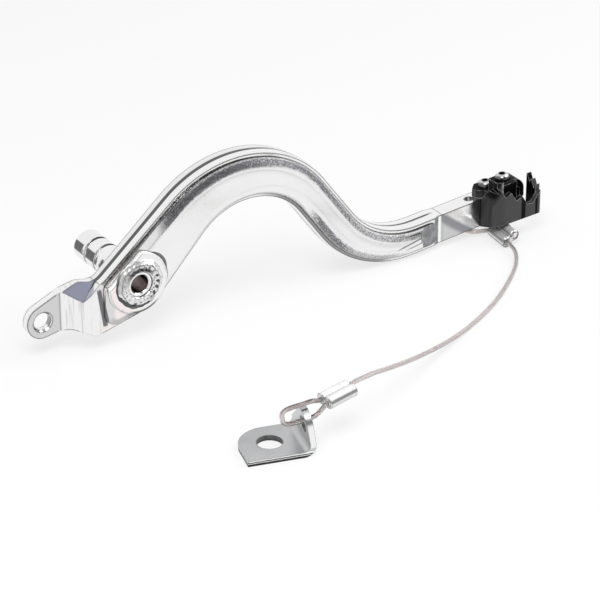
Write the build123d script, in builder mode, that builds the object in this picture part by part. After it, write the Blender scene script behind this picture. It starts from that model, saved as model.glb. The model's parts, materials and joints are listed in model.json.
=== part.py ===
from build123d import *
import math
import os

os.makedirs("parts", exist_ok=True)

# Frame: origin on the pivot axis in the arm's mid-plane, X to the toe, Y inboard, Z up.
# Plane.XZ looks along +Y, so a positive extrusion from it goes outboard, to -Y.

# Common values: a length past every edge of the pedal, and the round of a corner that is meant sharp
reach = 300.0
sharp = 0.1

# Pivot tube, turned, welded into the arm
bore_r = 4.2
journal_r = 7.0
seat_r = 7.6
seat_proud = 1.5
tube_proud = 1.1
tube_back = 36.5
tube_chamfer = 1.0
groove_width = 1.6
groove_depth = 0.7
groove_lead = 10.0
groove_pitch = 8.0
weld_width = 3.8
weld_rise = 2.1
weld_runs = 22
weld_run_r = 1.75

# Arm outline in side view; a corner is (x, z, rounding)
hub_x = -17.0
toe_x = 206.5
toe_round = 3.0
toe_crown = 5.4
strap_slope = math.radians(5.4)
strap_top_toe = -8.39
strap_height = 14.6
eye_x = -40.4
eye_z = -12.8
eye_r = 4.0
eye_end_r = 7.6
eye_chamfer = 0.7
lug_rise = 5.2
lug_drop = 9.2
neck_top = (-23.5, 2.7, 5.0)
hub_top = (hub_x, 1.6, 8.0)
crest_top = (62.9, 70.2, 54.4)
dip_top = (126.6, -15.9, 39.0)
dip_under_x = 114.7
dip_under_r = 55.0
crest_under = (61.5, 41.0, 31.6)
hub_under = (9.0, -15.5, 12.0)
heel = (-18.5, -22.6, 7.0)
neck_under = (-28.0, -18.5, 6.0)

# Arm across its thickness
draft = 0.45
parting_land = 0.15
rim_half = 5.1
hub_half = 4.3
strap_half = 4.25
rim_width = 2.0
crown_rise = 2.9
crown_run = 3.6
crown_step = 0.8
crown_corner = 5.0
crown_blend = 5.0
mill_x = 160.5
mill_run = 11.5
mill_slope = 0.34
mill_skim = 0.5
mill_step = 2.0
boss_r = 14.6
boss_inset = 2.5
boss_rise = 0.7
boss_round = 1.2
lug_front = 3.5
lug_back = 8.0
lug_spot_x = -32.0
lug_spot_depth = 0.5
jog_front_x = (-31.5, -21.0)
jog_back_x = (-30.5, -20.0)
jog_round = 7.0
facet_left = (-31.0, 3.3, -0.2)
facet_right = (-16.8, 0.3, 2.2)
facet_low = (-23.9, -2.05, -5.4)

# Toe step, pressed from one sheet; x and z are measured from the toe corner of the strap
sheet = 2.4
flange_height = 3.8
screw_r = 2.0
screw_pitch = 9.7
screw_back = 6.7
flange_lead = 6.9
flange_chamfer = 3.0
fold_r = 5.9
fold_inner_r = 3.0
cage_past = 4.3
cage_length = 26.6
cage_side = 11.75
cage_near = (0.2, 6.0)
cage_end_r = 2.2
cage_heel_r = 0.6
cage_top = 8.39
cage_bottom = -18.61
cage_foot = (-6.8, -15.61)
cage_foot_slope = (0.055, -0.32)
skirt_drop = 7.11

# Saw teeth of the step: outboard wall in side view, left and end walls seen from the toe
tooth_first = (2.7, 6.09)
tooth_pitch = 6.25
tooth_fall = 3.15
tooth_run = 3.0
tooth_drop = 4.6
teeth_count = 3
nose_gap = (6.8, 5.2)
nose_gap_z = -5.11
nose_tip = (2.8, -1.81)
nose_top = 0.79
left_rise = (6.25, 4.59)
left_dip_z = 3.49
end_tip = (2.85, 5.59)
end_pitch = 3.2
end_fall = 1.55
end_run = 2.0
end_drop = 3.8
end_teeth = 3

# Button-head screws
head_r = 3.4
head_h = 2.6
head_rim = 0.5
socket_flat = 2.5
socket_depth = 1.3
shank_length = 9.0
tap_run_out = 0.6

# Tether: wire rope, crimped double-barrel ferrules, an eye at each end
rope_r = 1.0
ferrule_length = 14.2
ferrule_r = 2.7
ferrule_edge = 0.4
ferrule_bite = 2.2
barrel_gap = 2.2
toe_crimp_front = (-16.5, -20.6, -17.61)
toe_crimp_yaw = math.radians(6.3)
toe_crimp_tilt = math.radians(38.0)
toe_hole_back = 13.7
toe_hole_up = 3.69
toe_hole_r = 1.6
toe_pass_back = 27.4
toe_pass_gap = 1.72
toe_eye_back = 5.25
toe_eye_r = 5.0
toe_lead = 0.95
toe_pass_in = 1.45
toe_lead_r = 2.6
rope_ease = 0.45
rope_lead = (7.0, 11.0)
rope_points = [
    (182.0, -36.3, -28.7),
    (172.0, -46.0, -29.0),
    (150.0, -63.2, -29.0),
    (122.0, -77.5, -29.0),
    (94.0, -91.6, -23.6),
    (66.0, -108.3, -13.6),
]

# Anchor tab, bent sheet
tab_corner = (-15.56, -120.9, -30.0)
tab_turn = math.radians(-15.2)
tab_sheet = 2.5
tab_length = 28.4
tab_width = 25.0
tab_round = 13.0
tab_hole_r = 5.5
tab_hole_x = 13.0
tab_bend_r = 2.6
tab_lean = math.radians(8.0)
tongue_height = 18.4
tongue_r = 6.6
tongue_foot = 5.0
lace_hole_r = 3.5
lace_height = 11.3
tab_eye_half = 3.8
tab_eye_tail = 5.4
tab_eye_lead = 4.0
tab_eye_lead_r = 4.0
tab_eye_rise = math.radians(9.0)
tab_crimp_yaw = math.radians(20.8)
tab_crimp_rise = math.radians(6.4)
tab_crimp_reach = 10.2


def strap_top(x):
    return strap_top_toe - (toe_x - x) * math.tan(strap_slope)


def strap_bottom(x):
    return strap_top(x) - strap_height


def strap_seat(x):
    return strap_top(x) - mill_skim


def strap_place(x):
    return Location((x, 0, strap_seat(x)), (0, -math.degrees(strap_slope), 0))


back_face = rim_half + crown_rise
boss_face = back_face + boss_rise
lug_end_x = eye_x - eye_end_r
past_toe = toe_x + toe_round
screw_rows = [toe_x - screw_back - screw_pitch * i for i in (2, 1, 0)]
toe_hole_x = toe_x - toe_hole_back
toe_hole = (toe_hole_x, strap_bottom(toe_hole_x) + toe_hole_up)

# Side outline of the whole forging: straight runs joined by tangent arcs
arm_corners = [
    (lug_end_x, eye_z + lug_rise, eye_end_r),
    neck_top,
    hub_top,
    crest_top,
    dip_top,
    (toe_x, strap_top_toe, toe_crown),
    (toe_x, strap_bottom(toe_x), toe_round),
    (dip_under_x, strap_bottom(dip_under_x), dip_under_r),
    crest_under,
    hub_under,
    heel,
    neck_under,
    (lug_end_x, eye_z - lug_drop, eye_end_r),
]
with BuildSketch(Plane.XZ) as arm_side:
    with BuildLine():
        FilletPolyline(*[c[:2] for c in arm_corners], radius=[c[2] for c in arm_corners], close=True)
    make_face()

# Joggle: the lug end steps inboard in plan
with BuildPart() as lug_end:
    with BuildSketch(Plane.XZ.offset(hub_half)):
        add(arm_side.sketch)
    extrude(amount=-hub_half - lug_back)
    with BuildSketch(Plane.XY.offset(-reach / 2)):
        with BuildLine():
            FilletPolyline(
                (lug_end_x - eye_r, lug_front),
                (jog_front_x[0], lug_front),
                (jog_front_x[1], -hub_half),
                (hub_x, -hub_half),
                (hub_x, hub_half),
                (jog_back_x[1], hub_half),
                (jog_back_x[0], lug_back),
                (lug_end_x - eye_r, lug_back),
                radius=[sharp, jog_round, jog_round, sharp, sharp, jog_round, jog_round, sharp],
                close=True,
            )
        make_face()
    extrude(amount=reach, mode=Mode.INTERSECT)

# Slanted facet that takes the upper front corner off the joggle
facet_run = Vector(*facet_right) - Vector(*facet_left)
facet_fall = Vector(*facet_low) - Vector(*facet_left)
with BuildPart() as lug_facet:
    with BuildSketch(Plane.XZ):
        with BuildLine():
            Polyline(
                (facet_left[0], facet_low[2]),
                (facet_low[0], facet_low[2]),
                (facet_right[0], facet_right[2]),
                (facet_right[0], reach),
                (facet_left[0], reach),
                close=True,
            )
        make_face()
    extrude(amount=reach, both=True)
    split(bisect_by=Plane(facet_low, z_dir=facet_fall.cross(facet_run)), keep=Keep.TOP)

# Crowned face of the forging, one side
with BuildPart() as crown:
    with BuildSketch(Plane.XZ) as crown_face:
        add(arm_side.sketch)
        offset(amount=-rim_width, mode=Mode.REPLACE)
        with Locations(((hub_x + rim_width + mill_x) / 2, 0)):
            Rectangle(mill_x - hub_x - rim_width, reach, mode=Mode.INTERSECT)
        ends = crown_face.vertices().group_by(Axis.X)
        fillet(ends[0] + ends[-1], radius=crown_corner)
    extrude(amount=rim_half + crown_rise)
    crown_top = crown.faces().sort_by(Axis.Y)[0]
    chamfer(crown_top.edges(), length=crown_run, length2=crown_rise - crown_step, reference=crown_top)
    fillet(crown.faces().sort_by(Axis.Y)[0].edges(), radius=crown_blend)

with BuildPart() as pedal_arm:
    # Forged blank: draft flanks that meet in a parting ridge on the mid-plane
    with BuildSketch(Plane.XZ):
        add(arm_side.sketch)
    extrude(amount=rim_half, both=True)
    for face in (pedal_arm.faces().sort_by(Axis.Y)[0], pedal_arm.faces().sort_by(Axis.Y)[-1]):
        chamfer(face.edges(), length=draft, length2=rim_half - parting_land, reference=face)
    with BuildSketch(Plane.XY.offset(-reach / 2)):
        with BuildLine():
            Polyline(
                (hub_x, 0),
                (hub_x, -hub_half),
                (crest_top[0], -rim_half),
                (mill_x - mill_step, -rim_half),
                (mill_x, -strap_half),
                (past_toe, -strap_half),
                (past_toe, 0),
                close=True,
            )
        make_face()
        mirror(about=Plane.XZ)
    extrude(amount=reach, mode=Mode.INTERSECT)
    add(lug_end.part)
    add(crown.part)
    add(mirror(crown.part, about=Plane.XZ, mode=Mode.PRIVATE))
    # Boss that the pivot tube is welded into
    with BuildSketch(Plane.XZ):
        add(arm_side.sketch)
        offset(amount=-boss_inset, mode=Mode.REPLACE)
        Circle(boss_r, mode=Mode.INTERSECT)
    extrude(amount=boss_face)
    fillet(pedal_arm.faces().sort_by(Axis.Y)[0].edges(), radius=boss_round)
    # Milled strap: the flanks run out through the crown, the top is skimmed flat
    with BuildSketch(Plane.XY.offset(-reach / 2)):
        with BuildLine():
            Polyline(
                (mill_x - mill_run, -strap_half - mill_run * mill_slope),
                (mill_x, -strap_half),
                (past_toe, -strap_half),
                (past_toe, -reach),
                (mill_x - mill_run, -reach),
                close=True,
            )
        make_face()
        mirror(about=Plane.XZ)
    extrude(amount=reach, mode=Mode.SUBTRACT)
    with BuildSketch(Plane.XZ):
        with BuildLine():
            Polyline(
                (mill_x + mill_step, strap_seat(mill_x + mill_step)),
                (past_toe, strap_seat(past_toe)),
                (past_toe, 0),
                (mill_x + mill_step, 0),
                close=True,
            )
        make_face()
    extrude(amount=reach, both=True, mode=Mode.SUBTRACT)
    add(lug_facet.part, mode=Mode.SUBTRACT)
    # Seat of the tube, push-rod eye with its spot face, tether hole and tapped holes
    with BuildSketch(Plane.XZ):
        Circle(seat_r)
        with Locations((eye_x, eye_z)):
            Circle(eye_r)
        with Locations(toe_hole):
            Circle(toe_hole_r)
    extrude(amount=reach, both=True, mode=Mode.SUBTRACT)
    with BuildSketch(Plane.XZ.offset(-lug_front - lug_spot_depth)):
        with Locations((lug_spot_x - reach / 2, eye_z)):
            Rectangle(reach, reach)
    extrude(amount=lug_front, mode=Mode.SUBTRACT)
    rings = pedal_arm.edges().filter_by(GeomType.CIRCLE)
    chamfer([e for e in rings if abs(e.radius - eye_r) < sharp], length=eye_chamfer)
    with Locations(*[strap_place(x) for x in screw_rows]):
        Hole(screw_r, depth=shank_length + tap_run_out)
pedal_arm.part.label = "pedal_arm"
export_step(pedal_arm.part, "parts/pedal_arm.step")

# Turned pivot tube: seat in the arm, then the grooved journal
with BuildPart() as pivot_tube:
    with BuildSketch(Plane.XY):
        with BuildLine():
            Polyline(
                (bore_r, -boss_face - tube_proud),
                (seat_r, -boss_face - tube_proud),
                (seat_r, back_face + seat_proud),
                (journal_r, back_face + seat_proud),
                (journal_r, tube_back),
                (bore_r, tube_back),
                close=True,
            )
        make_face()
        with Locations(*[(journal_r, tube_back - groove_lead - groove_pitch * i) for i in (0, 1)]):
            Rectangle(2 * groove_depth, groove_width, mode=Mode.SUBTRACT)
    revolve(axis=Axis.Y)
    chamfer(pivot_tube.edges().group_by(Axis.Y)[-1], length=tube_chamfer)
    chamfer(pivot_tube.edges().group_by(Axis.Y)[0], length=tube_chamfer / 2)
pivot_tube.part.label = "pivot_tube"
export_step(pivot_tube.part, "parts/pivot_tube.step")

# Weld bead: a rounded ring around the tube on the boss face, rippled by the runs it was laid in
weld_r = seat_r + weld_width
weld_turns = [math.tau * i / weld_runs for i in range(weld_runs)]
weld_dirs = [(math.cos(a), 0, math.sin(a)) for a in weld_turns]
with BuildPart() as weld_ripples:
    with BuildSketch(*[Plane((0, -boss_face, 0), z_dir=d) for d in weld_dirs]):
        Circle(weld_run_r)
    extrude(amount=weld_r + sharp)

with BuildPart() as pivot_weld_bead:
    with BuildSketch(Plane.XY):
        with BuildLine():
            Line((seat_r, -boss_face), (weld_r, -boss_face))
            ThreePointArc(
                (weld_r, -boss_face),
                ((seat_r + weld_r) / 2, -boss_face - weld_rise),
                (seat_r, -boss_face),
            )
        make_face()
    revolve(axis=Axis.Y)
    add(weld_ripples.part, mode=Mode.INTERSECT)
pivot_weld_bead.part.label = "pivot_weld_bead"
export_step(pivot_weld_bead.part, "parts/pivot_weld_bead.step")

# Toe step: flange over the strap, toothed cage folded out from it
flange_start = screw_rows[1] - flange_lead
flange_end = toe_x + sheet
fold_start = flange_end - fold_r
cage_far = toe_x + cage_past
cage_left = cage_far - cage_length
cage_y = -strap_half - cage_side
cage_span = (cage_left - sheet, cage_far + sheet)
skirt_y = -strap_half - sheet
skirt_z = strap_top_toe - skirt_drop
foot_z = strap_top_toe + cage_bottom
cage_corners = [
    (cage_left, -strap_half, cage_heel_r),
    (cage_left + cage_near[0], cage_y, cage_near[1]),
    (cage_far, cage_y, cage_end_r),
    (cage_far, -strap_half, cage_heel_r),
]
left_dip = strap_top_toe + left_dip_z
front_saw = [(cage_span[0], left_dip), (cage_left + cage_near[0], left_dip)]
for i in range(teeth_count):
    tip_x = cage_left + tooth_first[0] + i * tooth_pitch
    tip_z = strap_top_toe + tooth_first[1] - i * tooth_fall
    front_saw += [(tip_x, tip_z), (tip_x + tooth_run, tip_z - tooth_drop)]
front_saw += [(cage_far - x, strap_top_toe + nose_gap_z) for x in nose_gap]
front_saw += [(cage_far - nose_tip[0], strap_top_toe + nose_tip[1])]
front_saw += [(cage_span[1], strap_top_toe + nose_top)]
end_saw = [(-strap_half, strap_top_toe + end_tip[1])]
for i in range(end_teeth):
    tip_y = -strap_half - end_tip[0] - i * end_pitch
    tip_z = strap_top_toe + end_tip[1] - i * end_fall
    end_saw += [(tip_y, tip_z), (tip_y - end_run, tip_z - end_drop)]
end_saw += [(y, strap_top_toe + nose_top) for y in (cage_y, cage_y - sheet)]
left_foot = strap_seat(cage_left)
left_slope = [
    (0, left_foot),
    (-strap_half, left_foot),
    (-strap_half - left_rise[0], strap_top_toe + left_rise[1]),
    (cage_y, left_dip),
]
foot_point = (cage_left, cage_foot[0], strap_top_toe + cage_foot[1])
foot_normal = (-cage_foot_slope[0], -cage_foot_slope[1], 1)
with BuildPart() as toe_step:
    with BuildSketch(Plane.XY.offset(foot_z)):
        with BuildLine():
            FilletPolyline(*[c[:2] for c in cage_corners], radius=[c[2] for c in cage_corners], close=True)
        make_face()
        offset(amount=-sheet, mode=Mode.SUBTRACT)
    extrude(amount=cage_top - cage_bottom)
    split(bisect_by=Plane(foot_point, z_dir=foot_normal), keep=Keep.TOP)
    # Saw teeth: outboard wall, end wall, then the plain rise of the left wall
    with BuildSketch(Plane.XZ.offset(-cage_y - sheet)):
        with BuildLine():
            Polyline(*front_saw, (cage_span[1], reach), (cage_span[0], reach), close=True)
        make_face()
    extrude(amount=reach, mode=Mode.SUBTRACT)
    with BuildSketch(Plane.YZ.offset(cage_far - sheet)):
        with BuildLine():
            Polyline(*end_saw, (cage_y - sheet, reach), (-strap_half, reach), close=True)
        make_face()
    extrude(amount=reach, mode=Mode.SUBTRACT)
    with BuildSketch(Plane.YZ.offset(cage_left + sheet)):
        with BuildLine():
            Polyline(*left_slope, (cage_y, reach), (0, reach), close=True)
        make_face()
    extrude(amount=-reach, mode=Mode.SUBTRACT)
    # Skirt that lies against the strap up to the fold, and the free end of the end wall beside it
    with BuildSketch(Plane.XZ):
        with BuildLine():
            Polyline(
                (cage_span[0], strap_seat(cage_span[0]) + flange_height),
                (fold_start, strap_seat(fold_start) + flange_height),
                (fold_start, skirt_z),
                (cage_left + sheet, skirt_z),
                (cage_left + sheet, -reach),
                (cage_span[1], -reach),
                (cage_span[1], reach),
                (cage_span[0], reach),
                close=True,
            )
        make_face()
    extrude(amount=-skirt_y, mode=Mode.SUBTRACT)
    # Flange on the strap, curled down over the toe end
    with BuildSketch(Plane.XZ.offset(strap_half)):
        with BuildLine():
            FilletPolyline(
                (flange_start, strap_seat(flange_start)),
                (flange_start, strap_seat(flange_start) + flange_height),
                (flange_end, strap_seat(toe_x) + flange_height),
                (flange_end, skirt_z),
                (toe_x, skirt_z),
                (toe_x, strap_seat(toe_x)),
                radius=[sharp, sharp, fold_r, sharp, sharp, fold_inner_r],
                close=True,
            )
        make_face()
    extrude(amount=-2 * strap_half)
    with BuildSketch(Plane.XY.offset(foot_z)):
        for side in (-1, 1):
            with Locations((flange_start, side * strap_half)):
                Polygon((0, 0), (flange_chamfer, 0), (0, -side * flange_chamfer), align=None)
    extrude(amount=cage_top - cage_bottom, mode=Mode.SUBTRACT)
    with Locations(*[strap_place(x) for x in screw_rows[1:]]):
        with Locations((0, 0, flange_height)):
            Hole(screw_r, depth=flange_height)
toe_step.part.label = "toe_step"
export_step(toe_step.part, "parts/toe_step.step")

# Two button-head screws, one node
with BuildPart() as step_screws:
    with Locations(*[strap_place(x) for x in screw_rows[1:]]):
        with Locations((0, 0, flange_height)):
            Cylinder(head_r, head_h, align=(Align.CENTER, Align.CENTER, Align.MIN))
            Cylinder(screw_r, shank_length, align=(Align.CENTER, Align.CENTER, Align.MAX))
    rims = [e for e in step_screws.edges().filter_by(GeomType.CIRCLE) if abs(e.radius - head_r) < sharp]
    crowns = [e for e in rims if e.center().Z > strap_seat(e.center().X) + flange_height + head_rim]
    fillet(crowns, radius=head_h - head_rim)
    with BuildSketch(*[Plane(strap_place(x)).offset(flange_height + head_h) for x in screw_rows[1:]]):
        RegularPolygon(socket_flat / 2, 6, major_radius=False)
    extrude(amount=-socket_depth, mode=Mode.SUBTRACT)
step_screws.part.label = "step_screws"
export_step(step_screws.part, "parts/step_screws.step")

# Tether, toe end: a double-barrel ferrule, and an eye laced through the strap's hole and under the strap
toe_corner = Vector(toe_x, 0, strap_top_toe)
toe_out = Vector(-math.sin(toe_crimp_yaw), -math.cos(toe_crimp_yaw), 0)
toe_flat = Vector(math.cos(toe_crimp_yaw), -math.sin(toe_crimp_yaw), 0)
toe_side = toe_flat * math.cos(toe_crimp_tilt) + Vector(0, 0, math.sin(toe_crimp_tilt))
toe_crimp_back = toe_corner + Vector(*toe_crimp_front) - toe_out * ferrule_length
toe_crimp = Plane(toe_crimp_back, x_dir=toe_side, z_dir=toe_out)
with BuildPart() as toe_ferrule:
    with BuildSketch(toe_crimp):
        with Locations((-barrel_gap, 0), (barrel_gap, 0)):
            Circle(ferrule_r)
    extrude(amount=ferrule_length)
    chamfer(toe_ferrule.edges().filter_by(GeomType.CIRCLE), length=ferrule_edge)
toe_ferrule.part.label = "toe_ferrule"
export_step(toe_ferrule.part, "parts/toe_ferrule.step")

toe_pass_x = toe_x - toe_pass_back
toe_pass_z = strap_bottom(toe_pass_x) - toe_pass_gap
toe_back_y = strap_half + toe_eye_back
with BuildPart() as toe_eye:
    with BuildLine() as toe_lace:
        FilletPolyline(
            toe_crimp.from_local_coords((-barrel_gap, 0, ferrule_bite)),
            (toe_pass_x, toe_pass_in - strap_half, toe_pass_z),
            (toe_pass_x, toe_back_y, toe_pass_z),
            (toe_hole[0], toe_back_y, toe_hole[1]),
            (toe_hole[0], -strap_half - toe_lead, toe_hole[1]),
            toe_crimp.from_local_coords((barrel_gap, 0, ferrule_bite)),
            radius=[toe_eye_r, toe_eye_r, toe_eye_r, toe_lead_r],
        )
    with BuildSketch(Plane(toe_lace.line @ 0, z_dir=toe_lace.line % 0)):
        Circle(rope_r)
    sweep()
    add(toe_ferrule.part, mode=Mode.SUBTRACT)
toe_eye.part.label = "toe_eye"
export_step(toe_eye.part, "parts/toe_eye.step")

# Anchor tab: bent sheet with a bolt hole and a laced tongue
tab_along = Vector(math.cos(tab_turn), math.sin(tab_turn), 0)
tab_across = Vector(-math.sin(tab_turn), math.cos(tab_turn), 0)
tab_base = Plane(origin=tab_corner, x_dir=tab_along, z_dir=(0, 0, 1))
tab_side = Plane(origin=tab_corner, x_dir=tab_along, z_dir=-tab_across)
lean_out = tab_along * math.cos(tab_lean) + Vector(0, 0, math.sin(tab_lean))
fold_line = tab_base.origin + tab_along * tab_length + Vector(0, 0, tab_sheet / 2)
tongue = Plane(origin=fold_line, x_dir=tab_across, z_dir=lean_out)
bend_gain = tab_sheet / 2 * (1 + math.sin(tab_lean)) / math.cos(tab_lean)
blank_top = tongue_height + tongue_r
blank_back = blank_top * math.sin(tab_lean)
with BuildPart() as anchor_tab:
    with BuildSketch(tab_side):
        with BuildLine():
            FilletPolyline(
                (0, 0),
                (tab_length + bend_gain, 0),
                (tab_length + bend_gain - blank_back, blank_top * math.cos(tab_lean)),
                (tab_length - bend_gain - blank_back, blank_top * math.cos(tab_lean)),
                (tab_length - bend_gain, tab_sheet),
                (0, tab_sheet),
                radius=[sharp, tab_bend_r + tab_sheet, sharp, sharp, tab_bend_r, sharp],
                close=True,
            )
        make_face()
    extrude(amount=-tab_width)
    with BuildSketch(tongue):
        with Locations((tongue_r, tongue_height - tongue_r)):
            Circle(tongue_r)
        with Locations((tab_width / 2, 0)):
            Rectangle(tab_width, 2 * tongue_foot)
        make_hull()
        with Locations((tongue_r, lace_height)):
            Circle(lace_hole_r, mode=Mode.SUBTRACT)
    extrude(amount=reach, both=True, mode=Mode.INTERSECT)
    with BuildSketch(tab_base):
        with Locations((tab_round / 2, tab_width - tab_round / 2)):
            Rectangle(tab_round, tab_round)
        with Locations((tab_round, tab_width - tab_round)):
            Circle(tab_round, mode=Mode.SUBTRACT)
        with Locations((tab_hole_x, tab_width / 2)):
            Circle(tab_hole_r)
    extrude(amount=tab_sheet, mode=Mode.SUBTRACT)
anchor_tab.part.label = "anchor_tab"
export_step(anchor_tab.part, "parts/anchor_tab.step")

# Tether, tab end: a free eye around the bridge of the tongue, so that the tab can swing, and its ferrule
bridge = tongue.from_local_coords((tongue_r, (lace_height + lace_hole_r + tongue_height) / 2, 0))
pull = tab_along * math.cos(tab_eye_rise) + Vector(0, 0, math.sin(tab_eye_rise))
lift = Vector(0, 0, math.cos(tab_eye_rise)) - tab_along * math.sin(tab_eye_rise)
crimp_flat = tab_along * math.cos(tab_crimp_yaw) + tab_across * math.sin(tab_crimp_yaw)
crimp_side = tab_across * math.cos(tab_crimp_yaw) - tab_along * math.sin(tab_crimp_yaw)
crimp_out = crimp_flat * math.cos(tab_crimp_rise) + Vector(0, 0, math.sin(tab_crimp_rise))
tab_crimp = Plane(bridge + crimp_out * tab_crimp_reach, x_dir=crimp_side, z_dir=crimp_out)
tail = pull * (tab_eye_tail + tab_eye_half)
spread = lift * tab_eye_half
with BuildPart() as tab_ferrule:
    with BuildSketch(tab_crimp):
        with Locations((-barrel_gap, 0), (barrel_gap, 0)):
            Circle(ferrule_r)
    extrude(amount=ferrule_length)
    chamfer(tab_ferrule.edges().filter_by(GeomType.CIRCLE), length=ferrule_edge)
tab_ferrule.part.label = "tab_ferrule"
export_step(tab_ferrule.part, "parts/tab_ferrule.step")

with BuildPart() as tab_eye:
    with BuildLine() as tab_lace:
        FilletPolyline(
            tab_crimp.from_local_coords((barrel_gap, 0, ferrule_bite)),
            bridge + pull * tab_eye_lead + spread,
            bridge - tail + spread,
            bridge - tail - spread,
            bridge + pull * tab_eye_lead - spread,
            tab_crimp.from_local_coords((-barrel_gap, 0, ferrule_bite)),
            radius=[tab_eye_lead_r, tab_eye_half - sharp, tab_eye_half - sharp, tab_eye_lead_r],
        )
    with BuildSketch(Plane(tab_lace.line @ 0, z_dir=tab_lace.line % 0)):
        Circle(rope_r)
    sweep()
    add(tab_ferrule.part, mode=Mode.SUBTRACT)
tab_eye.part.label = "tab_eye"
export_step(tab_eye.part, "parts/tab_eye.step")

# Tether rope between the ferrules: straight runs joined by tangent arcs, the middle ones on the floor
rope_start = toe_crimp.from_local_coords((-barrel_gap, 0, ferrule_length))
rope_end = tab_crimp.from_local_coords((barrel_gap, 0, ferrule_length))
route = [
    rope_start,
    rope_start + toe_out * rope_lead[0],
    *[Vector(*p) for p in rope_points],
    rope_end + crimp_out * rope_lead[1],
    rope_end,
]
bend_radii = []
for before, corner, after in zip(route, route[1:], route[2:]):
    half_turn = math.radians((corner - before).get_angle(after - corner)) / 2
    shorter = min((corner - before).length, (after - corner).length)
    bend_radii.append(rope_ease * shorter / math.tan(half_turn))
with BuildPart() as tether_rope:
    with BuildLine() as rope_line:
        FilletPolyline(*route, radius=bend_radii)
    with BuildSketch(Plane(rope_start, z_dir=toe_out)):
        Circle(rope_r)
    sweep()
tether_rope.part.label = "tether_rope"
export_step(tether_rope.part, "parts/tether_rope.step")
rope_length = rope_line.wires()[0].length
print("tether bend radii", [round(r, 1) for r in bend_radii], "length", round(rope_length, 1))
print("tube volume over section times length", tether_rope.part.volume / (math.pi * rope_r**2 * rope_length))
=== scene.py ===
import json
import math

import bmesh
import bpy
from mathutils import Matrix, Vector


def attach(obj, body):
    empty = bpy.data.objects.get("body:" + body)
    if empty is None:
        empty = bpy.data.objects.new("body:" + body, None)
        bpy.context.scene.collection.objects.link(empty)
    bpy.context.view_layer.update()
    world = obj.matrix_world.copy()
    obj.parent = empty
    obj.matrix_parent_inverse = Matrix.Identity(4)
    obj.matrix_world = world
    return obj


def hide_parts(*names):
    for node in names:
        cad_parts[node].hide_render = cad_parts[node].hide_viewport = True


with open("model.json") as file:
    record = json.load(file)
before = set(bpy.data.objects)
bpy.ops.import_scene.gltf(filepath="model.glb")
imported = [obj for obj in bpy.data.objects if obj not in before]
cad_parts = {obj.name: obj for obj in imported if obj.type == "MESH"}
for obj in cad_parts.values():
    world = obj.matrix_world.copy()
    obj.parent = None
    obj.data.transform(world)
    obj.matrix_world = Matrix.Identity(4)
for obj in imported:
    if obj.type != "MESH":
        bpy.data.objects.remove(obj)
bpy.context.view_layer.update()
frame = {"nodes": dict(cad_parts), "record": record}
nodes = frame["nodes"]
mounts = {mount["name"]: mount for mount in frame["record"]["mounts"]}
MM = 0.001


def mount_place(name):
    """A mount's place in the record, in mm."""
    return [c / MM for c in mounts[name]["pos_m"]]


def mount_radius(name):
    """A bore's or pin's radius in the record, in mm."""
    return mounts[name]["dims"]["r_mm"]


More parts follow.
